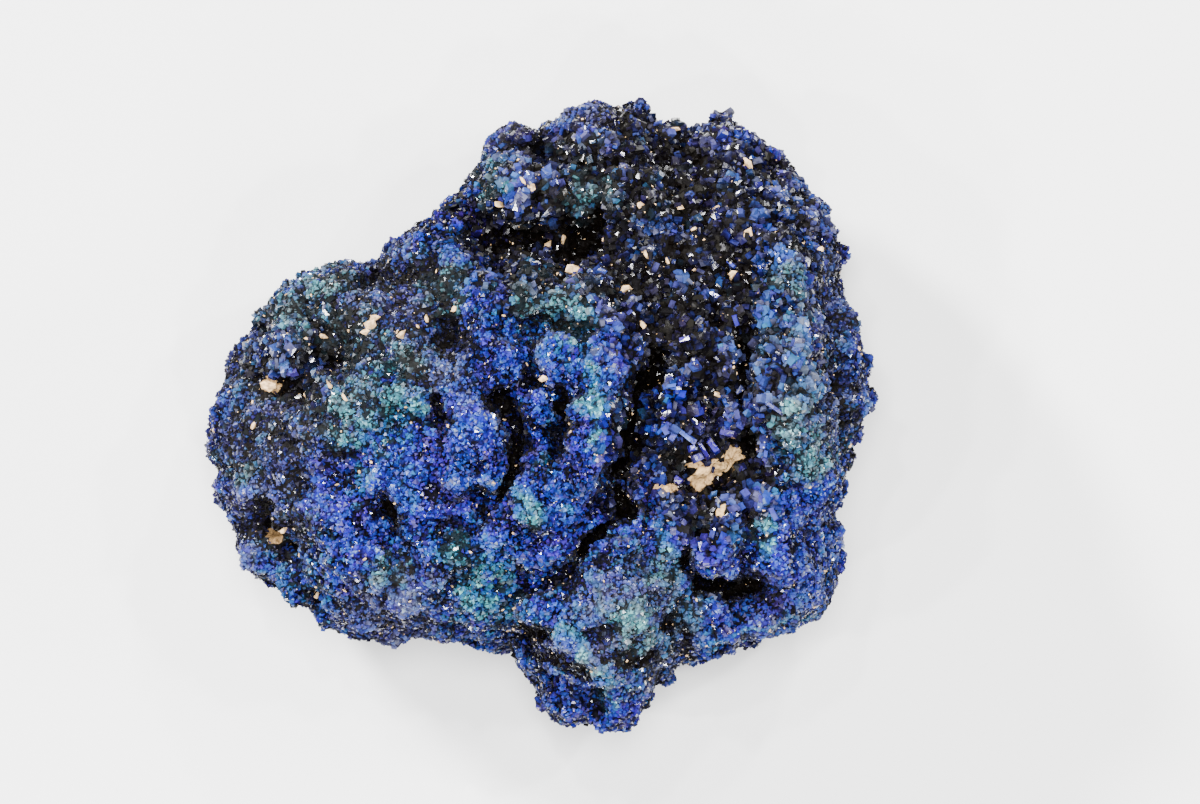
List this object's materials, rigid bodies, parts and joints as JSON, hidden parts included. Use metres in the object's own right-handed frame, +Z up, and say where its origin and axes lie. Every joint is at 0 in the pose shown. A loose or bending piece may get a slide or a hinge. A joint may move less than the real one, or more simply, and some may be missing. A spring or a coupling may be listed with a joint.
{
  "type": "azurite specimen",
  "caption": "Rounded lump of grown-together blue azurite crystals with ridges, gullies and traces of pale matrix, lying on its flat contact scar.",
  "frame": {"origin": "middle of the outline seen from above, on the surface that the piece rests on", "axes": "+Z up, out of the show face, which looks up; +X to the right and +Y to the top of the show face as pictured"},
  "size_m": [0.0668, 0.0633, 0.0379],
  "materials": {
    "azurite": "crystal crust with a glassy lustre, deep blue with blue-green crests and near-black hollows"
  },
  "bodies": {
    "root": {"azurite_cluster": "azurite"}
  },
  "joints": []
}
